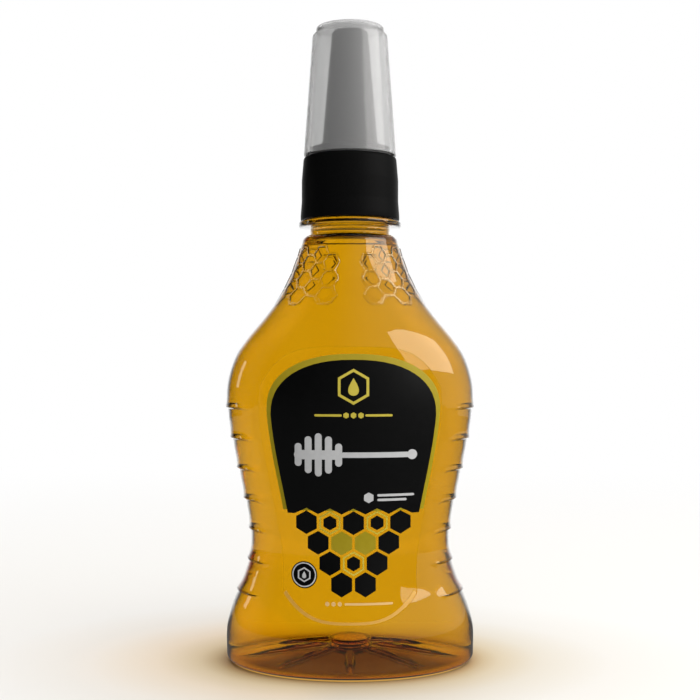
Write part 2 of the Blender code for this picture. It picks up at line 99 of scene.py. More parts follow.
# Grip ribs: each lip swells slowly from above and steps back sharply below
RIB_COUNT = 7
TOP_RIB_HEIGHT = 0.0690
RIB_PITCH = 0.00825
RIB_RISE = 0.0005
RIB_FADE_SHARE = 0.74
RIB_FULL_SHARE = 0.90
# The lip's sharp steps lie within this share of the pitch
RIB_SHARP_SHARE = 0.12
# Share of the pitch above the lip, share of the rise
RIB_SHAPE_SHARES = (
    (-0.38, 0.0), (-0.16, -0.30), (-0.065, -0.35), (-0.035, 0.25), (-0.012, 0.90), (0.012, 1.0),
    (0.035, 0.78), (0.10, 0.45), (0.20, 0.18), (0.34, 0.0),
)

# Honeycomb relief on both sides of the shoulder, with columns counted from the front's centre
COMB_COLUMNS = 11
COMB_FIRST_COLUMN = 1.5
COMB_PITCH_ANGLE = pi / (COMB_COLUMNS - 1 + 2 * COMB_FIRST_COLUMN)
COMB_CROWDING = radians(2.4)
COMB_ROWS = 3
COMB_BOTTOM = 0.0988
COMB_ROW_PITCH = 0.0044
COMB_LINE_WIDTH = 0.00025
COMB_FOOT_WIDTH = 0.00105
COMB_RISE = 0.00016
COMB_SINK = 0.00015
COMB_FAINT_SHARE = 0.2

# Neck finish
NECK_DIAMETER = 0.0217
NECK_BORE = 0.0176
NECK_LENGTH = 0.0020
NECK_BEAD = 0.00025
RING_DIAMETER = 0.0281
RING_THICKNESS = 0.0018
RING_EDGE = 0.0006
MOUTH_EDGE = 0.0004
RING_BOTTOM = BODY_HEIGHT + SHOULDER_EDGE_RISE + NECK_LENGTH
RING_TOP = RING_BOTTOM + RING_THICKNESS
THREAD_PITCH = 0.003175
THREAD_DEPTH = 0.0009
THREAD_CREST_WIDTH = 0.0007
THREAD_BURY = 0.0003
THREAD_BELOW_MOUTH = 0.0021
NECK_THREAD_TURNS = 1.5
COLLAR_THREAD_TURNS = 1.0
THREAD_CLEARANCE = 0.00035
THREAD_FLANK_SLOPE = 2 / 3
# A thread's end has this share of its height, and grows by this many of its heights a turn
THREAD_END_SHARE = 0.1
THREAD_END_GROWTH = 12

# Smoothness
BODY_COLUMNS = 240
TURNED_SEGMENTS = 160
BODY_STEP = 0.0011
ARC_STEPS = 6
PRINT_GRID = 0.0020
COLUMN_ANGLES = [2 * pi * step / BODY_COLUMNS for step in range(BODY_COLUMNS)]
QUARTER_TURN = [pi / 2 * step / ARC_STEPS for step in range(ARC_STEPS + 1)]
SHARP_EDGE_ANGLE = radians(35.0)
NORMAL_TURN = radians(0.5)

# Label: a clear film with its print on top, all on the body's front
LABEL_BOTTOM = 0.0140
LABEL_TOP = 0.0852
LABEL_WIDTH = 0.0480
LABEL_TOP_DROP = 0.0106
LABEL_BOTTOM_RISE = 0.0071
LABEL_TOP_POWER = 4.5
LABEL_BOTTOM_POWER = 3.2
FILM_SIDE_LOW = LABEL_BOTTOM + LABEL_BOTTOM_RISE
FILM_SIDE_HIGH = LABEL_TOP - LABEL_TOP_DROP
LABEL_SIDE_SHARES = ((0.00, 0.82), (0.27, 0.94), (0.55, 0.985), (0.75, 1.00), (0.89, 1.00), (1.00, 0.99))
FILM_LIFTS = (-0.00005, 0.00016)
BORDER_LIFTS = (0.00012, 0.00018)
FIELD_LIFTS = (0.00014, 0.00020)
MOTIF_LIFTS = (0.00016, 0.00024)
# The painted highlight along the film's lower edge lies between these insets from it
EDGE_HIGHLIGHT_INSETS = (0.0002, 0.0009)
FIELD_TOP = 0.0819
FIELD_TOP_DROP = 0.0142
FIELD_TOP_POWER = 2.3
FIELD_MARGIN = 0.0024
BORDER_TOP = 0.0834
BORDER_MARGIN = 0.0014
ARC_POINTS = 28
SIDE_POINTS = 14
BAR_END_STEPS = 12

# All that is printed is placed sideways from the print's centre, apart from the painted highlight at the
# lower edge
PRINT_CENTRE = 0.0009

# Honeycomb print at the field's lower edge, with its lime tiles as (row, column)
TILE_SIDE = 0.0031
TILE_GAP = 0.0007
TILE_PITCH = TILE_SIDE * sqrt(3) + TILE_GAP
TILE_LINE = 0.00042
TILE_CORE_SHARE = 0.62
TILE_TOP_ROW = 0.0398
TILE_ROWS = (5, 4, 3, 2)
LIME_TILES = ((1, 1), (1, 2))

# Motifs: a place is (sideways, height), a dot is (place, radius, corners), a hoop is two radii, and a bar is
# (left, right, height, radius of its ends)
DROP_POINTS = 24
DROP_WIDTH_SHARE = 0.42
DROP_POWER = 1.4
EMBLEM_PLACE = (0.0, 0.0750)
EMBLEM_HOOP = (0.0046, 0.0038)
EMBLEM_DROP = 0.0046
RULE_HEIGHT = 0.0677
RULE_BARS = ((-0.0100, -0.0030, RULE_HEIGHT, 0.0003), (0.0030, 0.0100, RULE_HEIGHT, 0.0003))
RULE_DOT_RADIUS = 0.0008
RULE_DOT_PITCH = 0.0019
DIPPER_LEFT = -0.0155
DIPPER_HEIGHT = 0.0575
DIPPER_DISC_SIZES = (0.0030, 0.0048, 0.0056, 0.0048, 0.0030)
DIPPER_DISC_PITCH = 0.0026
DIPPER_DISC_HALF_THICKNESS = 0.0009
DIPPER_CORE = (DIPPER_LEFT + 0.0002, DIPPER_LEFT + 0.0128, DIPPER_HEIGHT, 0.0012)
DIPPER_HANDLE = (DIPPER_LEFT + 0.0122, DIPPER_LEFT + 0.0300, DIPPER_HEIGHT, 0.0007)
DIPPER_KNOB = ((DIPPER_LEFT + 0.0306, DIPPER_HEIGHT), 0.0013, 20)
SEAL_PLACE = (-0.0127, 0.0262)
SEAL_POINTS = 32
SEAL_DISC = (SEAL_PLACE, 0.0034, SEAL_POINTS)
SEAL_HOOP = (0.0031, 0.0028)
SEAL_HEXAGON = (0.0019, 0.0015)
SEAL_DROP = 0.0018
NOTE_DOT = ((0.0039, 0.0464), 0.0014, 6)
NOTE_BARS = ((0.0061, 0.0157, 0.0470, 0.00032), (0.0061, 0.0137, 0.0458, 0.00032))
WEIGHT_HEIGHT = 0.0193
WEIGHT_BAR = (-0.0023, 0.0101, WEIGHT_HEIGHT, 0.00028)
WEIGHT_DOTS = (-0.0067, -0.0051, -0.0035)
WEIGHT_DOT_RADIUS = 0.0006

# Closure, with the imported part's sizes and a rounding for each edge
COLLAR_GRIP_DIAMETER = 0.0265
COLLAR_TOP_DIAMETER = 0.0254
COLLAR_TAPER_HEIGHT = 0.0065
COLLAR_HEM_HEIGHT = 0.0026
COLLAR_LIP = 0.0014
COLLAR_EDGE = 0.0010
FINE_EDGE = 0.00025
FIT_GAP = 0.0003
FLANGE_THICKNESS = 0.0016
FLANGE_OVERLAP = 0.00045
SEAT_HEIGHT = 0.0022
SPOUT_FLARE_HEIGHT = 0.0034
SPOUT_FLARE_RADIUS = 0.0024
SPOUT_BASE_DIAMETER = 0.0154
SPOUT_TIP_DIAMETER = 0.0098
SPOUT_TIP_EDGE = 0.0011
SPOUT_WALL = 0.0012
SPOUT_ORIFICE = 0.0064
SPOUT_TIP_WALL = 0.0010
OVERCAP_SHOULDER_DIAMETER = 0.0206
OVERCAP_RIM_DIAMETER = 0.0188
OVERCAP_TOP_DIAMETER = 0.0184
OVERCAP_CHAMFER_HEIGHT = 0.0011
OVERCAP_CROWN_HEIGHT = 0.0013
OVERCAP_WALL = 0.0009
OVERCAP_CEILING = 0.0006
OVERCAP_EDGE = 0.00025

# What one piece takes from another
HONEY_OVERLAP = 0.00015
# The honey's top has a ring at this share of its radius
HONEY_RIM_SHARE = 0.85
COLLAR_BORE_RADIUS = NECK_DIAMETER / 2 + THREAD_DEPTH + THREAD_CLEARANCE
FLANGE_RADIUS = COLLAR_BORE_RADIUS - FIT_GAP
LIP_RADIUS = FLANGE_RADIUS - FLANGE_OVERLAP
SEAT_RADIUS = LIP_RADIUS - FIT_GAP
PLUG_RADIUS = NECK_BORE / 2 - FIT_GAP
FLANGE_BOTTOM = SEAL_HIGH.z + FIT_GAP
SEAT_TOP = COLLAR_HIGH.z + SEAT_HEIGHT
NECK_THREAD_START = MOUTH_HEIGHT - THREAD_BELOW_MOUTH - NECK_THREAD_TURNS * THREAD_PITCH

# Camera, as the photograph's frame gives it
CAMERA_DISTANCE = 0.3108
CAMERA_HEIGHT = 0.0844
CAMERA_LENS = 58.1

# Materials
WHITE = (1.0, 1.0, 1.0, 1.0)
NOISE_LOW = 0.3
NOISE_HIGH = 0.7
BUMP_DISTANCE = 0.0001

# Studio: brightness along a direction's sideways, backward or upward part, where the backdrop is 1.
# Each is two ends, given as (part, brightness)
SKY_RIGHT = ((-1.0, 0.28), (1.0, 2.30))
OVERHEAD_UP = ((0.20, 1.0), (0.50, 0.24))
SEEN_THROUGH_BACK = ((-0.45, 0.03), (0.05, 1.0))
SEEN_THROUGH_RIGHT = ((0.3, 1.0), (0.9, 1.3))
MIRRORED_BACK = ((0.68, 0.0), (0.97, 1.0))
MIRRORED_RIGHT = ((-0.4, 0.01), (0.9, 0.30))
# A ray through the full bottle crosses more clear surfaces than this, one through the overcap alone fewer
BOTTLE_CROSSINGS = 5.0

# Floor: each fade is two ends, given as (place, share). The places are the distance from the middle, how far
# back, the backward part of the bearing, the multiple of the footprint and how far right
FLOOR_RADIUS = 0.60
FLOOR_SEGMENTS = 96
FLOOR_DROP = 0.0002
FLOOR_GLOSS_LEVEL = 0.12
FLOOR_FADE = ((0.06, 0.0), (FLOOR_RADIUS * 0.9, 1.0))
FLOOR_FRONT = ((-FOOT_DEPTH, 1.0), (-FOOT_DEPTH / 2, 0.0))
FLOOR_BESIDE = ((0.62, 1.0), (0.92, 0.0))
FLOOR_BEHIND = ((1.05, 0.0), (1.60, 1.0))
# Mask for the painted glow on the floor's left side
FLOOR_PAINTED_GLOW_SIDE = ((-FOOT_WIDTH / 4, 1.0), (0.0, 0.0))
# The ramps below run from 0 to this multiple of the footprint
FLOOR_REACH = 3.0
# Painted amber shade on the floor round the foot, darkest under it: multiples of the footprint, and the
# floor's colour there
FLOOR_PAINTED_SHADE = (
    (0.90, (0.34, 0.20, 0.09)),
    (1.00, (0.52, 0.34, 0.16)),
    (1.09, (0.61, 0.47, 0.28)),
    (1.21, (0.67, 0.56, 0.39)),
    (1.55, (0.72, 0.66, 0.56)),
    (2.10, (0.77, 0.74, 0.69)),
    (3.00, (0.80, 0.785, 0.755)),
)
# Painted caustic light: the floor glows where the honey would gather light under the heel, in the same
# multiples
FLOOR_PAINTED_CAUSTIC = (
    (0.84, (0.0, 0.0, 0.0)),
    (0.90, (0.46, 0.24, 0.03)),
    (0.935, (0.60, 0.34, 0.06)),
    (0.96, (0.0, 0.0, 0.0)),
)
# Painted light: the floor glows as if the honey threw light on it away from the softbox, in the same
# multiples
FLOOR_PAINTED_LEFT_GLOW = (
    (0.96, (0.0, 0.0, 0.0)),
    (1.10, (0.06, 0.04, 0.01)),
    (1.25, (0.10, 0.065, 0.02)),
    (1.55, (0.11, 0.05, 0.0)),
    (2.30, (0.02, 0.01, 0.0)),
    (3.00, (0.0, 0.0, 0.0)),
)

# Lights: name, azimuth from the front to the right, elevation, width, height, radiance, colour
LIGHT_TARGET = (0.0, 0.0, 0.09)
LIGHT_DISTANCE = 0.60
LIGHTS = (
    ("right_softbox", 69.0, 24.5, 0.60, 0.27, 1.95, (1.0, 0.97, 0.95)),
    ("left_strip", -108.0, 9.0, 0.07, 0.16, 1.1, (1.0, 0.96, 0.9)),
)


def smooth_step(low, high, value):
    t = min(max((value - low) / (high - low), 0.0), 1.0)
    return t * t * (3 - 2 * t)


def between(points, place):
    """Straight-line reading of a table of (place, value)."""
    if place <= points[0][0]:
        return points[0][1]
    for (low, low_value), (high, high_value) in zip(points, points[1:]):
        if place <= high:
            return low_value + (high_value - low_value) * (place - low) / (high - low)
    return points[-1][1]


def curve_through(points, place):
    """The smooth curve through a table of (place, value), read at one place."""
    spans = zip(points[:1] + points, points[1:] + points[-1:])
    slopes = [(high[1] - low[1]) / (high[0] - low[0]) for low, high in spans]
    if place <= points[0][0]:
        return points[0][1]
    for low, high, slope_low, slope_high in zip(points, points[1:], slopes, slopes[1:]):
        if place <= high[0]:
            span = high[0] - low[0]
            t = (place - low[0]) / span
            return (
                (1 + 2 * t) * (1 - t) ** 2 * low[1]
                + t * (1 - t) ** 2 * span * slope_low
                + t * t * (3 - 2 * t) * high[1]
                - t * t * (1 - t) * span * slope_high
            )
    return points[-1][1]


def outline_points(column, foot, waist, widest):
    """The body's stations as (height, half size), from its sizes and one column of the shares."""
    spans = (
        (FOOT_HEIGHT, foot, WAIST_HEIGHT, waist, FOOT_TO_WAIST_SHARES),
        (WAIST_HEIGHT, waist, WIDEST_HEIGHT, widest, WAIST_TO_WIDEST_SHARES),
        (WIDEST_HEIGHT, widest, BODY_HEIGHT, SHOULDER_TOP_DIAMETER, WIDEST_TO_TOP_SHARES),
    )
    points = [(HEEL_RADIUS, foot / 2)]
    for low, low_size, high, high_size, shares in spans:
        points.append((low, low_size / 2))
        for share in shares:
            half_size = low_size / 2 + (high_size - low_size) / 2 * share[column]
            points.append((low + (high - low) * share[0], half_size))
    points.append((BODY_HEIGHT, SHOULDER_TOP_DIAMETER / 2))
    return points


WIDTH_POINTS = outline_points(1, FOOT_WIDTH, WAIST_WIDTH, WIDEST_WIDTH)
DEPTH_POINTS = outline_points(2, FOOT_DEPTH, WAIST_DEPTH, WIDEST_DEPTH)


def half_width(height):
    return curve_through(WIDTH_POINTS, height)


def half_depth(height):
    return curve_through(DEPTH_POINTS, height)


def body_point(angle, height):
    """A point of the plain body, at an angle from +X."""
    return Vector((half_width(height) * cos(angle), half_depth(height) * sin(angle), height))


def lifted_point(angle, height, lift):
    """A point lifted square off the plain body."""
    rise = BODY_STEP / 4
    across = body_point(angle + NORMAL_TURN, height) - body_point(angle - NORMAL_TURN, height)
    up = body_point(angle, height + rise) - body_point(angle, height - rise)
    return body_point(angle, height) + across.cross(up).normalized() * lift


def front_point(x, height, lift):
    """A point lifted off the body's front at a sideways place x."""
    share = min(max(x / half_width(height), -1.0), 1.0)
    return lifted_point(-acos(share), height, lift)


def add_piece(name, bm, material, body):
    """Make a mesh object from a bmesh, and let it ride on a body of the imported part."""
    mesh = bpy.data.meshes.new(name)
    bmesh.ops.recalc_face_normals(bm, faces=bm.faces)
    bm.to_mesh(mesh)
    bm.free()
    mesh.shade_smooth()
    mesh.set_sharp_from_angle(angle=SHARP_EDGE_ANGLE)
    mesh.materials.append(material)
    piece = bpy.data.objects.new(name, mesh)
    bpy.context.scene.collection.objects.link(piece)
    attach(piece, body)
    return piece


def loft(bm, loops, closed=False):
    """Join loops of points into one skin, and if closed the last to the first. One point closes an end."""
    rows = [[bm.verts.new(point) for point in loop] for loop in loops]
    if closed:
        rows.append(rows[0])
    for low, high in zip(rows, rows[1:]):
        count = max(len(low), len(high))
        for index in range(count):
            after = (index + 1) % count
            if len(low) == 1:
                bm.faces.new((low[0], high[after], high[index]))
            elif len(high) == 1:
                bm.faces.new((low[index], low[after], high[0]))
            else:
                bm.faces.new((low[index], low[after], high[after], high[index]))


def circle(radius, height, segments=BODY_COLUMNS):
    if radius == 0.0:
        return [(0.0, 0.0, height)]
    return [
        (radius * cos(2 * pi * step / segments), radius * sin(2 * pi * step / segments), height)
        for step in range(segments)
    ]


def rounded(corners, fine_edge=0.0):
    """A profile with rounded corners, each (radius, height, edge radius), or (radius, height) if fine."""
    points = []
    for index, corner in enumerate(corners):
        place = Vector(corner[:2])
        edge = corner[2] if len(corner) == 3 else fine_edge
        if edge == 0.0:
            points.append(tuple(place))
            continue
        before = (Vector(corners[index - 1][:2]) - place).normalized()
        after = (Vector(corners[(index + 1) % len(corners)][:2]) - place).normalized()
        half_angle = before.angle(after) / 2
        reach = edge * cos(half_angle) / sin(half_angle)
        middle = place + (before + after).normalized() * (edge / sin(half_angle))
        start = place + before * reach - middle
        end = place + after * reach - middle
        sweep = start.angle(end)
        for step in range(ARC_STEPS + 1):
            t = step / ARC_STEPS
            spoke = (start * sin((1 - t) * sweep) + end * sin(t * sweep)) / sin(sweep)
            points.append(tuple(middle + spoke))
    return points


def turned(corners, closed=True):
    """The skin of a turned piece, from its rounded profile."""
    bm = bmesh.new()
    loft(bm, [circle(*point, TURNED_SEGMENTS) for point in rounded(corners, FINE_EDGE)], closed)
    return bm


def rib_rise(height):
    """How far the grip ribs lift the body's sides at a height."""
    rise = 0.0
    for rib in range(RIB_COUNT):
        share = (height - TOP_RIB_HEIGHT + rib * RIB_PITCH) / RIB_PITCH
        if RIB_SHAPE_SHARES[0][0] < share < RIB_SHAPE_SHARES[-1][0]:
            rise += RIB_RISE * between(RIB_SHAPE_SHARES, share)
    return rise


def body_heights():
    """Heights of the rings up the body, with one at each step of each rib."""
    low = HEEL_RADIUS
    high = BODY_HEIGHT
    count = round((high - low) / BODY_STEP)
    heights = {low + (high - low) * step / count for step in range(1, count)}
    for rib in range(RIB_COUNT):
        middle = TOP_RIB_HEIGHT - rib * RIB_PITCH
        heights = {height for height in heights if abs(height - middle) > RIB_PITCH * RIB_SHARP_SHARE}
        steps = [share for share, _ in RIB_SHAPE_SHARES if abs(share) < RIB_SHARP_SHARE]
        heights |= {middle + share * RIB_PITCH for share in steps}
    return sorted(heights)


def oval(wide, deep, height, rise=0.0):
    """A ring of the body. The rise swells it at both sides."""
    points = []
    for angle in COLUMN_ANGLES:
        swell = rise * smooth_step(RIB_FADE_SHARE, RIB_FULL_SHARE, abs(cos(angle)))
        points.append(((wide + swell) * cos(angle), (deep + swell) * sin(angle), height))
    return points


def push_up_ring(out_share, inset):
    """A ring of the push-up between the knob and the stand ring, with its radial ridges."""
    knob = KNOB_DIAMETER / 2 + inset
    wide = knob + (FOOT_WIDTH / 2 - HEEL_RADIUS - STAND_WIDTH - knob) * out_share
    deep = knob + (FOOT_DEPTH / 2 - HEEL_RADIUS - STAND_WIDTH - knob) * out_share
    base = PUSH_UP_HEIGHT * curve_through(PUSH_UP_SLOPE_SHARES, out_share) + inset
    fade = smooth_step(0.0, RIDGE_START_SHARE, out_share) * (1 - smooth_step(*RIDGE_END_SHARES, out_share))
    points = []
    for angle in COLUMN_ANGLES:
        turn = angle % (2 * pi / RIDGE_COUNT)
        aside = (wide + deep) / 2 * abs(sin(min(turn, 2 * pi / RIDGE_COUNT - turn)))
        ridge = 1 - smooth_step(RIDGE_HALF_WIDTH, RIDGE_FOOT_HALF_WIDTH, aside)
        height = base + RIDGE_LIFT * ridge * fade
        points.append((wide * cos(angle), deep * sin(angle), height))
    return points


def base_loops(inset):
    """Loops from the base's centre to the top of the heel, on the surface inset above the underside."""
    knob = KNOB_DIAMETER / 2 + inset
    top = PUSH_UP_HEIGHT + inset
    foot = PUSH_UP_HEIGHT * PUSH_UP_SLOPE_SHARES[0][1] + inset
    loops = [circle(0.0, top), circle(knob / 2, top)]
    for angle in QUARTER_TURN:
        radius = knob - KNOB_EDGE + KNOB_EDGE * sin(angle)
        loops.append(circle(radius, top - KNOB_EDGE + KNOB_EDGE * cos(angle)))
    loops.append(circle(knob - KNOB_EDGE, (foot + top - KNOB_EDGE) / 2))
    for step in range(PUSH_UP_RINGS + 1):
        loops.append(push_up_ring(step / PUSH_UP_RINGS, inset))
    wide = FOOT_WIDTH / 2 - HEEL_RADIUS
    deep = FOOT_DEPTH / 2 - HEEL_RADIUS
    for angle in QUARTER_TURN:
        out = (HEEL_RADIUS - inset) * sin(angle)
        loops.append(oval(wide + out, deep + out, HEEL_RADIUS - (HEEL_RADIUS - inset) * cos(angle)))
    return loops


def wall_loops(inset):
    """Loops up the ribbed body, on the surface that lies inset inside its outside."""
    loops = []
    for height in body_heights():
        if height < BODY_HEIGHT - inset:
            wide = half_width(height) - inset
            loops.append(oval(wide, half_depth(height) - inset, height, rib_rise(height)))
    return loops


def shoulder_edge_loops(inset, end_radius):
    """Loops over the rounded edge from the shoulder's top in to the neck."""
    reach = SHOULDER_TOP_DIAMETER / 2 - inset - end_radius
    return [
        circle(end_radius + reach * cos(angle), BODY_HEIGHT - inset + SHOULDER_EDGE_RISE * sin(angle))
        for angle in QUARTER_TURN
    ]


def neck_loops():
    """Loops from the neck's foot over its bead, the support ring and the mouth, and down the bore."""
    neck = NECK_DIAMETER / 2
    ring = RING_DIAMETER / 2
    bore = NECK_BORE / 2
    bead = BODY_HEIGHT + SHOULDER_EDGE_RISE + NECK_LENGTH / 2
    profile = rounded([
        (neck, bead - NECK_BEAD),
        (neck + NECK_BEAD / 2, bead, NECK_BEAD / 4),
        (neck, bead + NECK_BEAD),
        (neck, RING_BOTTOM, RING_EDGE / 2),
        (ring, RING_BOTTOM, RING_EDGE),
        (ring, RING_TOP, RING_EDGE),
        (neck, RING_TOP, RING_EDGE / 2),
        (neck, MOUTH_HEIGHT, MOUTH_EDGE),
        (bore, MOUTH_HEIGHT, MOUTH_EDGE),
        (bore, BODY_HEIGHT + SHOULDER_EDGE_RISE),
    ])
    return [circle(*point) for point in profile[:-1]]


def thread_ridge(bm, crest_radius, root_radius, start_height, turns):
    """A right-hand helical ridge. Its root is buried in the wall that carries it, and its ends taper."""
    steps = round(turns * TURNED_SEGMENTS)
    half_crest = THREAD_CREST_WIDTH / 2
    half_root = half_crest + abs(crest_radius - root_radius) * THREAD_FLANK_SLOPE
    loops = []
    for step in range(steps + 1):
        turn = step / TURNED_SEGMENTS
        full = min(1.0, THREAD_END_SHARE + min(turn, turns - turn) * THREAD_END_GROWTH)
        crest = root_radius + (crest_radius - root_radius) * full
        half_tip = half_root + (half_crest - half_root) * full
        places = ((root_radius, -half_root), (crest, -half_tip), (crest, half_tip), (root_radius, half_root))
        height = start_height + THREAD_PITCH * turn
        loops.append([
            bm.verts.new((radius * cos(2 * pi * turn), radius * sin(2 * pi * turn), height + rise))
            for radius, rise in places
        ])
    for low, high in zip(loops, loops[1:]):
        for index in range(4):
            after = (index + 1) % 4
            bm.faces.new((low[index], low[after], high[after], high[index]))
    bm.faces.new(loops[0])
    bm.faces.new(loops[-1])


def comb_angle(across, side):
    """The angle from +X of a place across the net, whose columns lie closer at the front and the back."""
    turn = (COMB_FIRST_COLUMN + across / 3) * COMB_PITCH_ANGLE
    return side * (turn - COMB_CROWDING * sin(2 * turn)) - pi / 2


def comb_lift(height):
    """How high the honeycomb lines stand: faint towards their lower end."""
    full = smooth_step(COMB_BOTTOM - COMB_ROW_PITCH / 2, COMB_BOTTOM + COMB_ROW_PITCH, height)
    return COMB_RISE * (COMB_FAINT_SHARE + (1 - COMB_FAINT_SHARE) * full)


def comb_cells(corner):
    """The three cells that meet at a corner of the honeycomb, on its grid of thirds and halves."""
    across, up = corner
    near = ((2, 0), (-2, 0), (1, 1), (1, -1), (-1, 1), (-1, -1))
    cells = [(across + right, up + rise) for right, rise in near]
    return [cell for cell in cells if cell[0] % 3 == 0 and (cell[0] // 3 - cell[1]) % 2 == 0]


def add_honeycomb(bm, side):
    """A closed net of raised lines on one side of the shoulder, its underside sunk into the wall."""
    cell_corners = ((2, 0), (1, 1), (-1, 1), (-2, 0), (-1, -1), (1, -1))
    lines = set()
    for column in range(COMB_COLUMNS):
        for row in range(COMB_ROWS):
            ring = [(3 * column + right, 2 * row + column % 2 + rise) for right, rise in cell_corners]
            lines |= {frozenset(pair) for pair in zip(ring, ring[1:] + ring[:1])}
    made = {}

    def point(corner, cell, top):
        """The point beside a corner, drawn towards one of its cells."""
        key = (corner, cell, top)
        if key not in made:
            share = (COMB_LINE_WIDTH if top else COMB_FOOT_WIDTH) / COMB_ROW_PITCH
            across = corner[0] + (cell[0] - corner[0]) * share
            up = corner[1] + (cell[1] - corner[1]) * share
            height = COMB_BOTTOM + COMB_ROW_PITCH * up / 2
            lift = comb_lift(height) if top else -COMB_SINK
            made[key] = bm.verts.new(lifted_point(comb_angle(across, side), height, lift))
        return made[key]

    def side_face(one, other):
        """The face that goes down into the wall between two places, each a (corner, cell)."""
        bm.faces.new((point(*one, True), point(*other, True), point(*other, False), point(*one, False)))

    for line in lines:
        one, other = line
        left, right = [cell for cell in comb_cells(one) if cell in comb_cells(other)]
        for top in (True, False):
            places = ((one, left), (other, left), (other, right), (one, right))
            bm.faces.new([point(*place, top) for place in places])
        for cell in (left, right):
            side_face((one, cell), (other, cell))
    for corner in {corner for line in lines for corner in line}:
        cells = comb_cells(corner)
        for top in (True, False):
            bm.faces.new([point(corner, cell, top) for cell in cells])
        for index in range(3):
            left, right = cells[index - 1], cells[index]
            far_end = (left[0] + right[0] - corner[0], left[1] + right[1] - corner[1])
            if frozenset((corner, far_end)) not in lines:
                side_face((corner, left), (corner, right))


def film_side(height):
    """Half the film's width at a height."""
    rise = (height - FILM_SIDE_LOW) / (FILM_SIDE_HIGH - FILM_SIDE_LOW)
    share = curve_through(LABEL_SIDE_SHARES, rise)
    return share * half_width(height) * LABEL_WIDTH / WIDEST_WIDTH


def film_edge(side, middle, rise, power):
    """The film's lower or upper edge from -side to side. Its corners lie a rise above its middle."""
    shares = [-cos(pi * step / ARC_POINTS) for step in range(ARC_POINTS + 1)]
    return [(share * side, middle + rise * abs(share) ** power) for share in shares]


def sides(low, high, margin=0.0):
    """The right side of an area of the label, going up, and its left side, going down."""
    heights = [low + (high - low) * step / SIDE_POINTS for step in range(SIDE_POINTS)]
    right = [(film_side(height) - margin, height) for height in heights]
    return right, [(-x, height) for x, height in right[::-1]]


def film_outline():
    right, left = sides(FILM_SIDE_LOW, FILM_SIDE_HIGH)
    bottom = film_edge(film_side(FILM_SIDE_LOW), LABEL_BOTTOM, LABEL_BOTTOM_RISE, LABEL_BOTTOM_POWER)
    top = film_edge(-film_side(FILM_SIDE_HIGH), LABEL_TOP, -LABEL_TOP_DROP, LABEL_TOP_POWER)
    return bottom + right[1:] + top + left[:-1]


def edge_highlight_outline():
    """Painted highlight: a narrow pale band along the film's lower edge."""
    side = film_side(FILM_SIDE_LOW)
    low, high = [
        film_edge(side - inset, LABEL_BOTTOM + inset, LABEL_BOTTOM_RISE, LABEL_BOTTOM_POWER)
        for inset in EDGE_HIGHLIGHT_INSETS
    ]
    return low + high[::-1]


def arched_outline(low, top, margin):
    """A printed area: up its right side, over its arched top and down its left side."""
    high = top - FIELD_TOP_DROP
    right, left = sides(low, high, margin)
    side = film_side(high) - margin
    arch = []
    for step in range(ARC_POINTS + 1):
        angle = pi * step / ARC_POINTS
        share = abs(cos(angle)) ** (2 / FIELD_TOP_POWER)
        rise = FIELD_TOP_DROP * sin(angle) ** (2 / FIELD_TOP_POWER) if 0 < step < ARC_POINTS else 0.0
        arch.append(((side if angle < pi / 2 else -side) * share, high + rise))
    return right + arch + left


def conform(name, outlines, lifts, material, centre=PRINT_CENTRE):
    """A thin solid for each outline of (sideways, height) points, wrapped on the front between two lifts."""
    flat = bmesh.new()
    for outline in outlines:
        flat.faces.new([flat.verts.new((centre + x, 0.0, height)) for x, height in outline])
    bmesh.ops.triangulate(flat, faces=flat.faces)
    for axis in (0, 2):
        places = [vert.co[axis] for vert in flat.verts]
        cut = (int(min(places) / PRINT_GRID) - 1) * PRINT_GRID
        normal = Vector((1.0, 0.0, 0.0)) if axis == 0 else Vector((0.0, 0.0, 1.0))
        while cut < max(places):
            geometry = flat.verts[:] + flat.edges[:] + flat.faces[:]
            bmesh.ops.bisect_plane(flat, geom=geometry, dist=1e-7, plane_co=normal * cut, plane_no=normal)
            cut += PRINT_GRID
    bm = bmesh.new()
    skins = []
    for lift in lifts:
        points = {vert: bm.verts.new(front_point(vert.co.x, vert.co.z, lift)) for vert in flat.verts}
        for face in flat.faces:
            bm.faces.new([points[vert] for vert in face.verts])
        skins.append(points)
    for edge in flat.edges:
        if len(edge.link_faces) == 1:
            one, other = edge.verts
            bm.faces.new((skins[0][one], skins[0][other], skins[1][other], skins[1][one]))
    flat.free()
    return add_piece(name, bm, material, "filled_bottle")


def regular(centre, radius, count=6):
    """A regular outline with its first corner straight up."""
    angles = [2 * pi * step / count for step in range(count)]
    return [(centre[0] + radius * sin(angle), centre[1] + radius * cos(angle)) for angle in angles]


def hoop(centre, outer, inner, count=6):
    """A regular hoop, with one outline for each of its sides."""
    rim = regular(centre, outer, count)
    hole = regular(centre, inner, count)
    pairs = [(side, (side + 1) % count) for side in range(count)]
    return [(rim[side], rim[after], hole[after], hole[side]) for side, after in pairs]


def drop_outline(centre, size):
    """A honey drop with its point up."""
    points = []
    for step in range(DROP_POINTS):
        angle = 2 * pi * step / DROP_POINTS
        wide = size * DROP_WIDTH_SHARE * sin(angle) * sin(angle / 2) ** DROP_POWER
        points.append((centre[0] + wide, centre[1] + size / 2 * cos(angle)))
    return points


def bar_outline(left, right, height, radius):
    """A bar with round ends."""
    points = []
    for middle, start in ((right - radius, pi / 2), (left + radius, -pi / 2)):
        for step in range(BAR_END_STEPS + 1):
            angle = start - pi * step / BAR_END_STEPS
            points.append((middle + radius * cos(angle), height + radius * sin(angle)))
    return points


def field_outline():
    """The black field: an arched top, and a lower edge that steps along the tiles."""
    low = TILE_TOP_ROW + TILE_SIDE / 2 + TILE_GAP
    steps = []
    for step in range(-TILE_ROWS[0], TILE_ROWS[0] + 1):
        rise = TILE_SIDE / 2 if step % 2 == 0 else 0.0
        steps.append((step * TILE_PITCH / 2, low + rise))
    return steps + arched_outline(low, FIELD_TOP, FIELD_MARGIN)


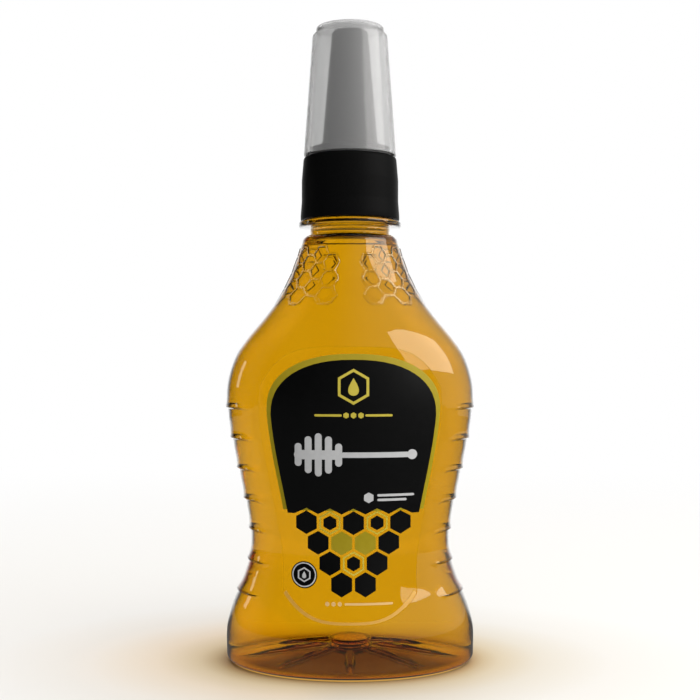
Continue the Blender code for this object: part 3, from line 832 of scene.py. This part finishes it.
def tile_outlines():
    """The honeycomb print, as outlines for black, lime and gold ink. Its rows are centred."""
    black, lime, gold = [], [], []
    for row, count in enumerate(TILE_ROWS):
        height = TILE_TOP_ROW - row * TILE_PITCH * sqrt(3) / 2
        for column in range(count):
            place = ((column - (count - 1) / 2) * TILE_PITCH, height)
            if (row, column) in LIME_TILES:
                lime.append(regular(place, TILE_SIDE))
            elif row % 2 == 0 and column % 2 == 1:
                gold += hoop(place, TILE_SIDE, TILE_SIDE - TILE_LINE)
                black.append(regular(place, TILE_SIDE * TILE_CORE_SHARE))
            else:
                black.append(regular(place, TILE_SIDE))
    return black, lime, gold


def emblem_outlines():
    """A hexagon with a drop in it, above a rule with three dots in its middle."""
    outlines = hoop(EMBLEM_PLACE, *EMBLEM_HOOP)
    outlines.append(drop_outline(EMBLEM_PLACE, EMBLEM_DROP))
    outlines += [bar_outline(*bar) for bar in RULE_BARS]
    outlines += [regular((step * RULE_DOT_PITCH, RULE_HEIGHT), RULE_DOT_RADIUS) for step in (-1, 0, 1)]
    return outlines


def dipper_outlines():
    """A honey dipper that lies across the label: a grooved head, a slim handle and an end knob."""
    outlines = []
    for index, size in enumerate(DIPPER_DISC_SIZES):
        disc = DIPPER_LEFT + (index + 0.5) * DIPPER_DISC_PITCH
        lying = bar_outline(-size, size, 0.0, DIPPER_DISC_HALF_THICKNESS)
        outlines.append([(disc + across, DIPPER_HEIGHT + along) for along, across in lying])
    return outlines + [bar_outline(*DIPPER_CORE), bar_outline(*DIPPER_HANDLE), regular(*DIPPER_KNOB)]


def seal_outlines():
    """A plain round seal: a ring round a hexagon with a drop in it."""
    outlines = hoop(SEAL_PLACE, *SEAL_HOOP, SEAL_POINTS) + hoop(SEAL_PLACE, *SEAL_HEXAGON)
    return outlines + [drop_outline(SEAL_PLACE, SEAL_DROP)]


def feed(socket, value):
    """Link a socket to another, or set it to a plain value."""
    if isinstance(value, bpy.types.NodeSocket):
        socket.id_data.links.new(value, socket)
    else:
        socket.default_value = value


def set_inputs(node, **inputs):
    """Feed a node's inputs by name, with underscores for spaces."""
    for name, value in inputs.items():
        feed(node.inputs[name.replace("_", " ")], value)


def add_node(near, kind, **inputs):
    """A new node in the tree of another node or of a socket."""
    node = near.id_data.nodes.new("ShaderNode" + kind)
    set_inputs(node, **inputs)
    return node


def light_path(near):
    return add_node(near, "LightPath").outputs


def split(vector):
    """The three coordinates of a vector."""
    node = add_node(vector, "SeparateXYZ", Vector=vector)
    return [node.outputs[axis] for axis in "XYZ"]


def calculate(kind, operation, *sources):
    node = add_node(sources[0], kind)
    node.operation = operation
    for socket, source in zip(node.inputs, sources):
        feed(socket, source)
    return node.outputs


def combine(operation, one, other):
    return calculate("Math", operation, one, other)["Value"]


def combine_vectors(operation, *vectors):
    return calculate("VectorMath", operation, *vectors)["Vector"]


def vector_length(vector):
    return calculate("VectorMath", "LENGTH", vector)["Value"]


def add_range(source, low, high, interpolation="SMOOTHSTEP"):
    """A value that goes between two levels over a stretch of its source. Each end is (source, level)."""
    node = add_node(source, "MapRange", Value=source, From_Min=low[0], To_Min=low[1], From_Max=high[0],
                    To_Max=high[1])
    node.interpolation_type = interpolation
    return node.outputs["Result"]


def add_ramp(footprints, stops):
    """Colours along a multiple of the footprint, each stop given as (multiple, colour)."""
    share = add_range(footprints, (0.0, 0.0), (FLOOR_REACH, 1.0), "LINEAR")
    ramp = add_node(share, "ValToRGB", Fac=share)
    for _ in stops[2:]:
        ramp.color_ramp.elements.new(0.5)
    for element, (place, color) in zip(ramp.color_ramp.elements, stops):
        element.position = place / FLOOR_REACH
        element.color = (*color, 1.0)
    return ramp.outputs["Color"]


def choose(test, plain, chosen, data_type="FLOAT"):
    """One value where a test is 0 and another where it is 1."""
    node = add_node(test, "Mix")
    node.data_type = data_type
    set_inputs(node, Factor=test, A=plain, B=chosen)
    return node.outputs["Result"]


def show(test, plain, chosen):
    """Show one shader where a test is 0 and another where it is 1."""
    mix = add_node(test, "MixShader", Fac=test)
    feed(mix.inputs[1], plain)
    feed(mix.inputs[2], chosen)
    feed(test.id_data.nodes["Material Output"].inputs["Surface"], mix.outputs["Shader"])


def new_material(name, **inputs):
    """A material and its Principled shader, fed with plain values."""
    material = bpy.data.materials.new(name)
    material.use_nodes = True
    shader = material.node_tree.nodes["Principled BSDF"]
    set_inputs(shader, **inputs)
    return material, shader


def clear_material(name, lamp_tint, **inputs):
    """A clear material. Lamps light what is behind it, tinted by it."""
    material, shader = new_material(name, **inputs)
    tint = add_node(shader, "BsdfTransparent", Color=(*lamp_tint, 1.0))
    show(light_path(shader)["Is Shadow Ray"], shader.outputs["BSDF"], tint.outputs["BSDF"])
    return material, shader


def add_noise(shader, scale, detail):
    """Noise that stays fixed to the object, with scale in features per metre."""
    place = add_node(shader, "TexCoord").outputs["Object"]
    return add_node(shader, "TexNoise", Vector=place, Scale=scale, Detail=detail).outputs["Fac"]


def drift(noise, low, high):
    """A level that drifts between two others with the noise."""
    return add_range(noise, (NOISE_LOW, low), (NOISE_HIGH, high), "LINEAR")


def drift_color(noise, low, high):
    return choose(noise, (*low, 1.0), (*high, 1.0), "RGBA")


def add_bump(shader, noise, strength, distance=BUMP_DISTANCE):
    bump = add_node(shader, "Bump", Height=noise, Strength=strength, Distance=distance)
    set_inputs(shader, Normal=bump.outputs["Normal"])


def clear_pet():
    material, shader = clear_material("clear_pet", (0.97, 0.97, 0.96), Base_Color=WHITE, IOR=1.50,
                                      Transmission_Weight=1.0, Coat_IOR=1.5, Coat_Roughness=0.0)
    noise = add_noise(shader, 260.0, 2.0)
    set_inputs(shader, Roughness=drift(noise, 0.0, 0.02), Coat_Weight=light_path(shader)["Is Camera Ray"])
    add_bump(shader, noise, 0.03, distance=0.0005)
    return material


def honey_amber():
    material, shader = clear_material("honey", (0.86, 0.54, 0.12), IOR=1.18, Transmission_Weight=1.0,
                                      Roughness=0.0)
    cloud = drift(add_noise(shader, 60.0, 3.0), 0.0, 1.0)
    set_inputs(shader, Base_Color=drift_color(cloud, (0.708, 0.334, 0.001), (0.730, 0.359, 0.003)))
    return material


def label_film():
    material, shader = clear_material("label_film", (0.98, 0.98, 0.98), Base_Color=WHITE, IOR=1.15,
                                      Transmission_Weight=1.0)
    set_inputs(shader, Roughness=drift(add_noise(shader, 900.0, 2.0), 0.0, 0.03))
    return material


def milky_clear():
    material, shader = clear_material("milky_clear", (0.84, 0.84, 0.83), IOR=1.49, Transmission_Weight=0.80)
    noise = add_noise(shader, 340.0, 3.0)
    set_inputs(shader, Base_Color=drift_color(noise, (0.88, 0.88, 0.875), (0.91, 0.91, 0.905)),
               Roughness=drift(noise, 0.10, 0.13))
    return material


def opaque(name, colors, gloss, grain, bump, shine=0.5):
    """An opaque material. Its colour and gloss drift with a grain, given as (features per metre, detail)."""
    material, shader = new_material(name, Specular_IOR_Level=shine)
    noise = add_noise(shader, *grain)
    set_inputs(shader, Base_Color=drift_color(noise, *colors), Roughness=drift(noise, *gloss))
    add_bump(shader, noise, bump)
    return material


def ink(name, low_color, high_color, gloss, shine=0.5):
    return opaque(name, (low_color, high_color), gloss, grain=(700.0, 4.0), bump=0.05, shine=shine)


def satin_black():
    colors = ((0.0025,) * 3, (0.0045,) * 3)
    return opaque("satin_black", colors, (0.42, 0.52), grain=(2600.0, 3.0), bump=0.12, shine=0.08)


def matte_grey():
    colors = ((0.135, 0.135, 0.138), (0.165, 0.165, 0.168))
    return opaque("matte_grey", colors, (0.46, 0.56), grain=(1800.0, 3.0), bump=0.08)


def seal_foam():
    material, shader = new_material("seal_foam", Roughness=0.75)
    cells = add_noise(shader, 5200.0, 2.0)
    set_inputs(shader, Base_Color=drift_color(cells, (0.72, 0.72, 0.69), (0.85, 0.85, 0.82)))
    add_bump(shader, cells, 0.4)
    return material


def make_bottle():
    bm = bmesh.new()
    outside = base_loops(0.0) + wall_loops(0.0) + shoulder_edge_loops(0.0, NECK_DIAMETER / 2) + neck_loops()
    inside = base_loops(WALL) + wall_loops(WALL) + shoulder_edge_loops(WALL, NECK_BORE / 2)
    loft(bm, outside + inside[::-1])
    crest = NECK_DIAMETER / 2 + THREAD_DEPTH
    thread_ridge(bm, crest, NECK_DIAMETER / 2 - THREAD_BURY, NECK_THREAD_START, NECK_THREAD_TURNS)
    add_honeycomb(bm, 1)
    add_honeycomb(bm, -1)
    bottle = add_piece("bottle_shell", bm, clear_pet(), "filled_bottle")
    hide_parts("bottle")


def make_honey():
    bm = bmesh.new()
    inset = WALL - HONEY_OVERLAP
    bore = NECK_BORE / 2 + HONEY_OVERLAP
    loops = base_loops(inset) + wall_loops(inset) + shoulder_edge_loops(inset, bore)
    loops += [circle(bore * share, HONEY_TOP) for share in (1.0, HONEY_RIM_SHARE, 0.0)]
    loft(bm, loops)
    honey = add_piece("honey_fill", bm, honey_amber(), "filled_bottle")
    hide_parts("honey")


def make_label():
    film = conform("label_film", [film_outline()], FILM_LIFTS, label_film(), centre=0.0)
    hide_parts("front_label")
    lime = ink("lime_ink", (0.36, 0.27, 0.008), (0.42, 0.32, 0.012), gloss=(0.30, 0.38), shine=0.25)
    black = ink("black_ink", (0.0012,) * 3, (0.0022,) * 3, gloss=(0.36, 0.44), shine=0.32)
    silver = ink("silver_ink", (0.54, 0.54, 0.54), (0.64, 0.64, 0.63), gloss=(0.34, 0.44))
    gold = ink("gold_ink", (0.56, 0.45, 0.035), (0.66, 0.53, 0.05), gloss=(0.34, 0.44))
    pale = ink("pale_ink", (0.72, 0.42, 0.14), (0.80, 0.50, 0.20), gloss=(0.30, 0.40))
    # Pale amber ink for the painted highlight along the film's lower edge
    hem = ink("painted_highlight_ink", (0.68, 0.34, 0.04), (0.74, 0.38, 0.05), gloss=(0.30, 0.40))
    black_tiles, lime_tiles, gold_tiles = tile_outlines()
    black_tiles.append(regular(*SEAL_DISC))
    note = [regular(*NOTE_DOT)] + [bar_outline(*bar) for bar in NOTE_BARS]
    weight = [regular((dot, WEIGHT_HEIGHT), WEIGHT_DOT_RADIUS) for dot in WEIGHT_DOTS]
    weight.append(bar_outline(*WEIGHT_BAR))
    border = arched_outline(TILE_TOP_ROW + TILE_SIDE, BORDER_TOP, BORDER_MARGIN)
    conform("label_border", [border], BORDER_LIFTS, lime)
    conform("label_field", [field_outline()], FIELD_LIFTS, black)
    conform("label_emblem", emblem_outlines(), MOTIF_LIFTS, gold)
    conform("label_dipper", dipper_outlines(), MOTIF_LIFTS, silver)
    conform("label_seal", seal_outlines(), MOTIF_LIFTS, silver)
    conform("label_note", note, MOTIF_LIFTS, silver)
    conform("label_rule", weight, BORDER_LIFTS, pale)
    # The painted highlight along the film's lower edge
    conform("label_painted_highlight", [edge_highlight_outline()], BORDER_LIFTS, hem, centre=0.0)
    conform("label_tiles_black", black_tiles, FIELD_LIFTS, black)
    conform("label_tiles_lime", lime_tiles, FIELD_LIFTS, lime)
    conform("label_tiles_lines", gold_tiles, FIELD_LIFTS, gold)


def make_collar():
    hem = (COLLAR_HIGH.x - COLLAR_LOW.x) / 2
    grip = COLLAR_GRIP_DIAMETER / 2
    top = COLLAR_HIGH.z
    low = COLLAR_LOW.z
    lip = top - COLLAR_LIP
    corners = [
        (LIP_RADIUS, top),
        (COLLAR_TOP_DIAMETER / 2, top, COLLAR_EDGE),
        (grip, top - COLLAR_TAPER_HEIGHT, COLLAR_TAPER_HEIGHT),
        (grip, low + 2 * COLLAR_HEM_HEIGHT, COLLAR_HEM_HEIGHT),
        (hem, low + COLLAR_HEM_HEIGHT / 2, COLLAR_HEM_HEIGHT / 2),
        (hem, low),
        (COLLAR_BORE_RADIUS, low),
        (COLLAR_BORE_RADIUS, lip),
        (LIP_RADIUS, lip),
    ]
    bm = turned(corners)
    crest = NECK_DIAMETER / 2 + THREAD_CLEARANCE
    start = NECK_THREAD_START - THREAD_PITCH / 2
    thread_ridge(bm, crest, COLLAR_BORE_RADIUS + THREAD_BURY, start, COLLAR_THREAD_TURNS)
    collar = add_piece("screw_collar_shell", bm, satin_black(), "screw_collar")
    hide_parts("collar")


def make_seal_ring():
    outer = (SEAL_HIGH.x - SEAL_LOW.x) / 2
    corners = [
        (PLUG_RADIUS + FIT_GAP, SEAL_HIGH.z),
        (outer, SEAL_HIGH.z),
        (outer, SEAL_LOW.z),
        (PLUG_RADIUS + FIT_GAP, SEAL_LOW.z),
    ]
    seal = add_piece("seal_washer", turned(corners), seal_foam(), "closure")
    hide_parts("seal_ring")


def make_spout():
    tip = SPOUT_HIGH.z
    base = SPOUT_BASE_DIAMETER / 2
    flange_top = FLANGE_BOTTOM + FLANGE_THICKNESS
    bore = PLUG_RADIUS - SPOUT_WALL
    corners = [
        (SPOUT_ORIFICE / 2, tip),
        (SPOUT_TIP_DIAMETER / 2, tip, SPOUT_TIP_EDGE),
        (base, SEAT_TOP + SPOUT_FLARE_HEIGHT / 4, SPOUT_FLARE_RADIUS),
        (SEAT_RADIUS, SEAT_TOP),
        (SEAT_RADIUS, flange_top),
        (FLANGE_RADIUS, flange_top),
        (FLANGE_RADIUS, FLANGE_BOTTOM),
        (PLUG_RADIUS, FLANGE_BOTTOM),
        (PLUG_RADIUS, SPOUT_LOW.z),
        (bore, SPOUT_LOW.z),
        (bore, flange_top, 0.0),
        (base - SPOUT_WALL, SEAT_TOP + SPOUT_FLARE_HEIGHT, 0.0),
        (SPOUT_TIP_DIAMETER / 2 - SPOUT_WALL, tip - SPOUT_TIP_EDGE - SPOUT_TIP_WALL, 0.0),
        (SPOUT_ORIFICE / 2, tip - SPOUT_TIP_WALL),
    ]
    spout = add_piece("pouring_spout", turned(corners), matte_grey(), "closure")
    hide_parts("spout")


def make_overcap():
    top = OVERCAP_HIGH.z
    low = OVERCAP_LOW.z
    rim = top - OVERCAP_CROWN_HEIGHT
    shoulder = rim - OVERCAP_CHAMFER_HEIGHT
    ceiling = top - OVERCAP_CEILING
    mouth = (OVERCAP_HIGH.x - OVERCAP_LOW.x) / 2
    bore = SEAT_RADIUS + FIT_GAP
    corners = [
        (0.0, top, 0.0),
        (OVERCAP_TOP_DIAMETER / 2, top, OVERCAP_EDGE),
        (OVERCAP_RIM_DIAMETER / 2, rim, OVERCAP_EDGE),
        (OVERCAP_SHOULDER_DIAMETER / 2, shoulder, OVERCAP_EDGE),
        (mouth, low),
        (bore, low),
        (bore, low + SEAT_HEIGHT),
        (OVERCAP_SHOULDER_DIAMETER / 2 - OVERCAP_WALL, shoulder, OVERCAP_EDGE),
        (OVERCAP_RIM_DIAMETER / 2 - OVERCAP_WALL, rim, OVERCAP_EDGE),
        (OVERCAP_TOP_DIAMETER / 2 - OVERCAP_WALL, ceiling, OVERCAP_EDGE),
        (0.0, ceiling, 0.0),
    ]
    bm = turned(corners, closed=False)
    overcap = add_piece("clear_overcap", bm, milky_clear(), "dust_cap")
    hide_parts("overcap")


def floor_material():
    """Painted amber shade and glow round the bottle, fading to white. Rays that the bottle mirrors see it
    dark.
    """
    material, shader = new_material("studio_floor", Roughness=0.6, Specular_IOR_Level=0.2,
                                    Emission_Strength=1.0)
    path = light_path(shader)
    place = add_node(shader, "TexCoord").outputs["Object"]
    across, back, _ = split(place)
    _, bearing, _ = split(combine_vectors("NORMALIZE", place))
    footprint = (FOOT_WIDTH / 2, FOOT_DEPTH / 2, 1.0)
    footprints = vector_length(combine_vectors("DIVIDE", place, footprint))
    # Painted light: the honey's glow on the floor's left side and the caustic under the heel
    painted_glow = combine_vectors("MULTIPLY_ADD", add_ramp(footprints, FLOOR_PAINTED_LEFT_GLOW),
                           add_range(across, *FLOOR_PAINTED_GLOW_SIDE), add_ramp(footprints, FLOOR_PAINTED_CAUSTIC))
    # The base colour holds the painted amber shade round the foot
    set_inputs(shader, Base_Color=add_ramp(footprints, FLOOR_PAINTED_SHADE), Emission_Color=painted_glow)
    in_front = combine("MULTIPLY", add_range(back, *FLOOR_FRONT), path["Is Glossy Ray"])
    beside = combine("MULTIPLY", add_range(bearing, *FLOOR_BESIDE), path["Is Reflection Ray"])
    behind = combine("MULTIPLY", add_range(footprints, *FLOOR_BEHIND), path["Is Transmission Ray"])
    mirrored = combine("MAXIMUM", in_front, beside)
    fade = combine("MAXIMUM", add_range(vector_length(place), *FLOOR_FADE), behind)
    white = add_node(shader, "Emission", Color=WHITE,
                     Strength=add_range(mirrored, (0.0, 1.0), (1.0, FLOOR_GLOSS_LEVEL)))
    show(combine("MAXIMUM", fade, mirrored), shader.outputs["BSDF"], white.outputs["Emission"])
    return material


def make_floor():
    """A pale round floor."""
    bm = bmesh.new()
    bmesh.ops.create_circle(bm, cap_ends=True, segments=FLOOR_SEGMENTS, radius=FLOOR_RADIUS)
    mesh = bpy.data.meshes.new("studio_floor")
    bm.to_mesh(mesh)
    bm.free()
    mesh.materials.append(floor_material())
    floor = bpy.data.objects.new("studio_floor", mesh)
    floor.location = (0.0, 0.0, -FLOOR_DROP)
    bpy.context.scene.collection.objects.link(floor)


def make_world():
    """A studio: white behind the bottle, dark in front of it, and dimmer overhead."""
    world = bpy.data.worlds.new("studio")
    bpy.context.scene.world = world
    world.use_nodes = True
    background = world.node_tree.nodes["Background"]
    path = light_path(background)
    right, back, up = split(add_node(background, "TexCoord").outputs["Generated"])
    overhead = add_range(up, *OVERHEAD_UP)
    crossed = add_range(path["Transmission Depth"], (BOTTLE_CROSSINGS, 0.0), (BOTTLE_CROSSINGS + 1, 1.0))
    ceiling = choose(crossed, 1.0, overhead)
    seen_through = combine("MULTIPLY", add_range(back, *SEEN_THROUGH_BACK), ceiling)
    seen_through = combine("MULTIPLY", seen_through, add_range(right, *SEEN_THROUGH_RIGHT))
    backdrop = combine("MULTIPLY", add_range(back, *MIRRORED_BACK), overhead)
    mirrored = combine("ADD", add_range(right, *MIRRORED_RIGHT), backdrop)
    level = choose(path["Is Transmission Ray"], mirrored, seen_through)
    level = choose(path["Is Diffuse Ray"], level, add_range(right, *SKY_RIGHT))
    level = choose(path["Is Camera Ray"], level, 1.0)
    set_inputs(background, Color=WHITE, Strength=level)


def add_softbox(name, azimuth, elevation, width, height, radiance, color):
    """A rectangular light of a given brightness, turned to its target."""
    across = LIGHT_DISTANCE * cos(radians(elevation))
    up = LIGHT_DISTANCE * sin(radians(elevation))
    offset = Vector((across * sin(radians(azimuth)), -across * cos(radians(azimuth)), up))
    light = bpy.data.lights.new(name, "AREA")
    light.shape = "RECTANGLE"
    light.size = width
    light.size_y = height
    light.energy = radiance * pi * width * height
    light.color = color
    lamp = bpy.data.objects.new(name, light)
    lamp.location = Vector(LIGHT_TARGET) + offset
    lamp.rotation_euler = (-offset).to_track_quat("-Z", "Y").to_euler()
    bpy.context.scene.collection.objects.link(lamp)


def make_lights():
    for light in LIGHTS:
        add_softbox(*light)


def make_camera():
    scene = bpy.context.scene
    camera = bpy.data.cameras.new("camera")
    camera.lens = CAMERA_LENS
    camera.clip_start = 0.01
    rig = bpy.data.objects.new("camera", camera)
    rig.location = (0.0, -CAMERA_DISTANCE, CAMERA_HEIGHT)
    rig.rotation_euler = (pi / 2, 0.0, 0.0)
    scene.collection.objects.link(rig)
    scene.camera = rig
    scene.view_settings.view_transform = "Standard"
    scene.cycles.max_bounces = 24
    scene.cycles.transmission_bounces = 20
    scene.cycles.transparent_max_bounces = 16
    scene.cycles.caustics_reflective = False
    scene.cycles.caustics_refractive = False
    scene.cycles.use_denoising = True


make_camera()
make_world()
make_lights()
make_floor()
make_bottle()
make_honey()
make_label()
make_collar()
make_seal_ring()
make_spout()
make_overcap()
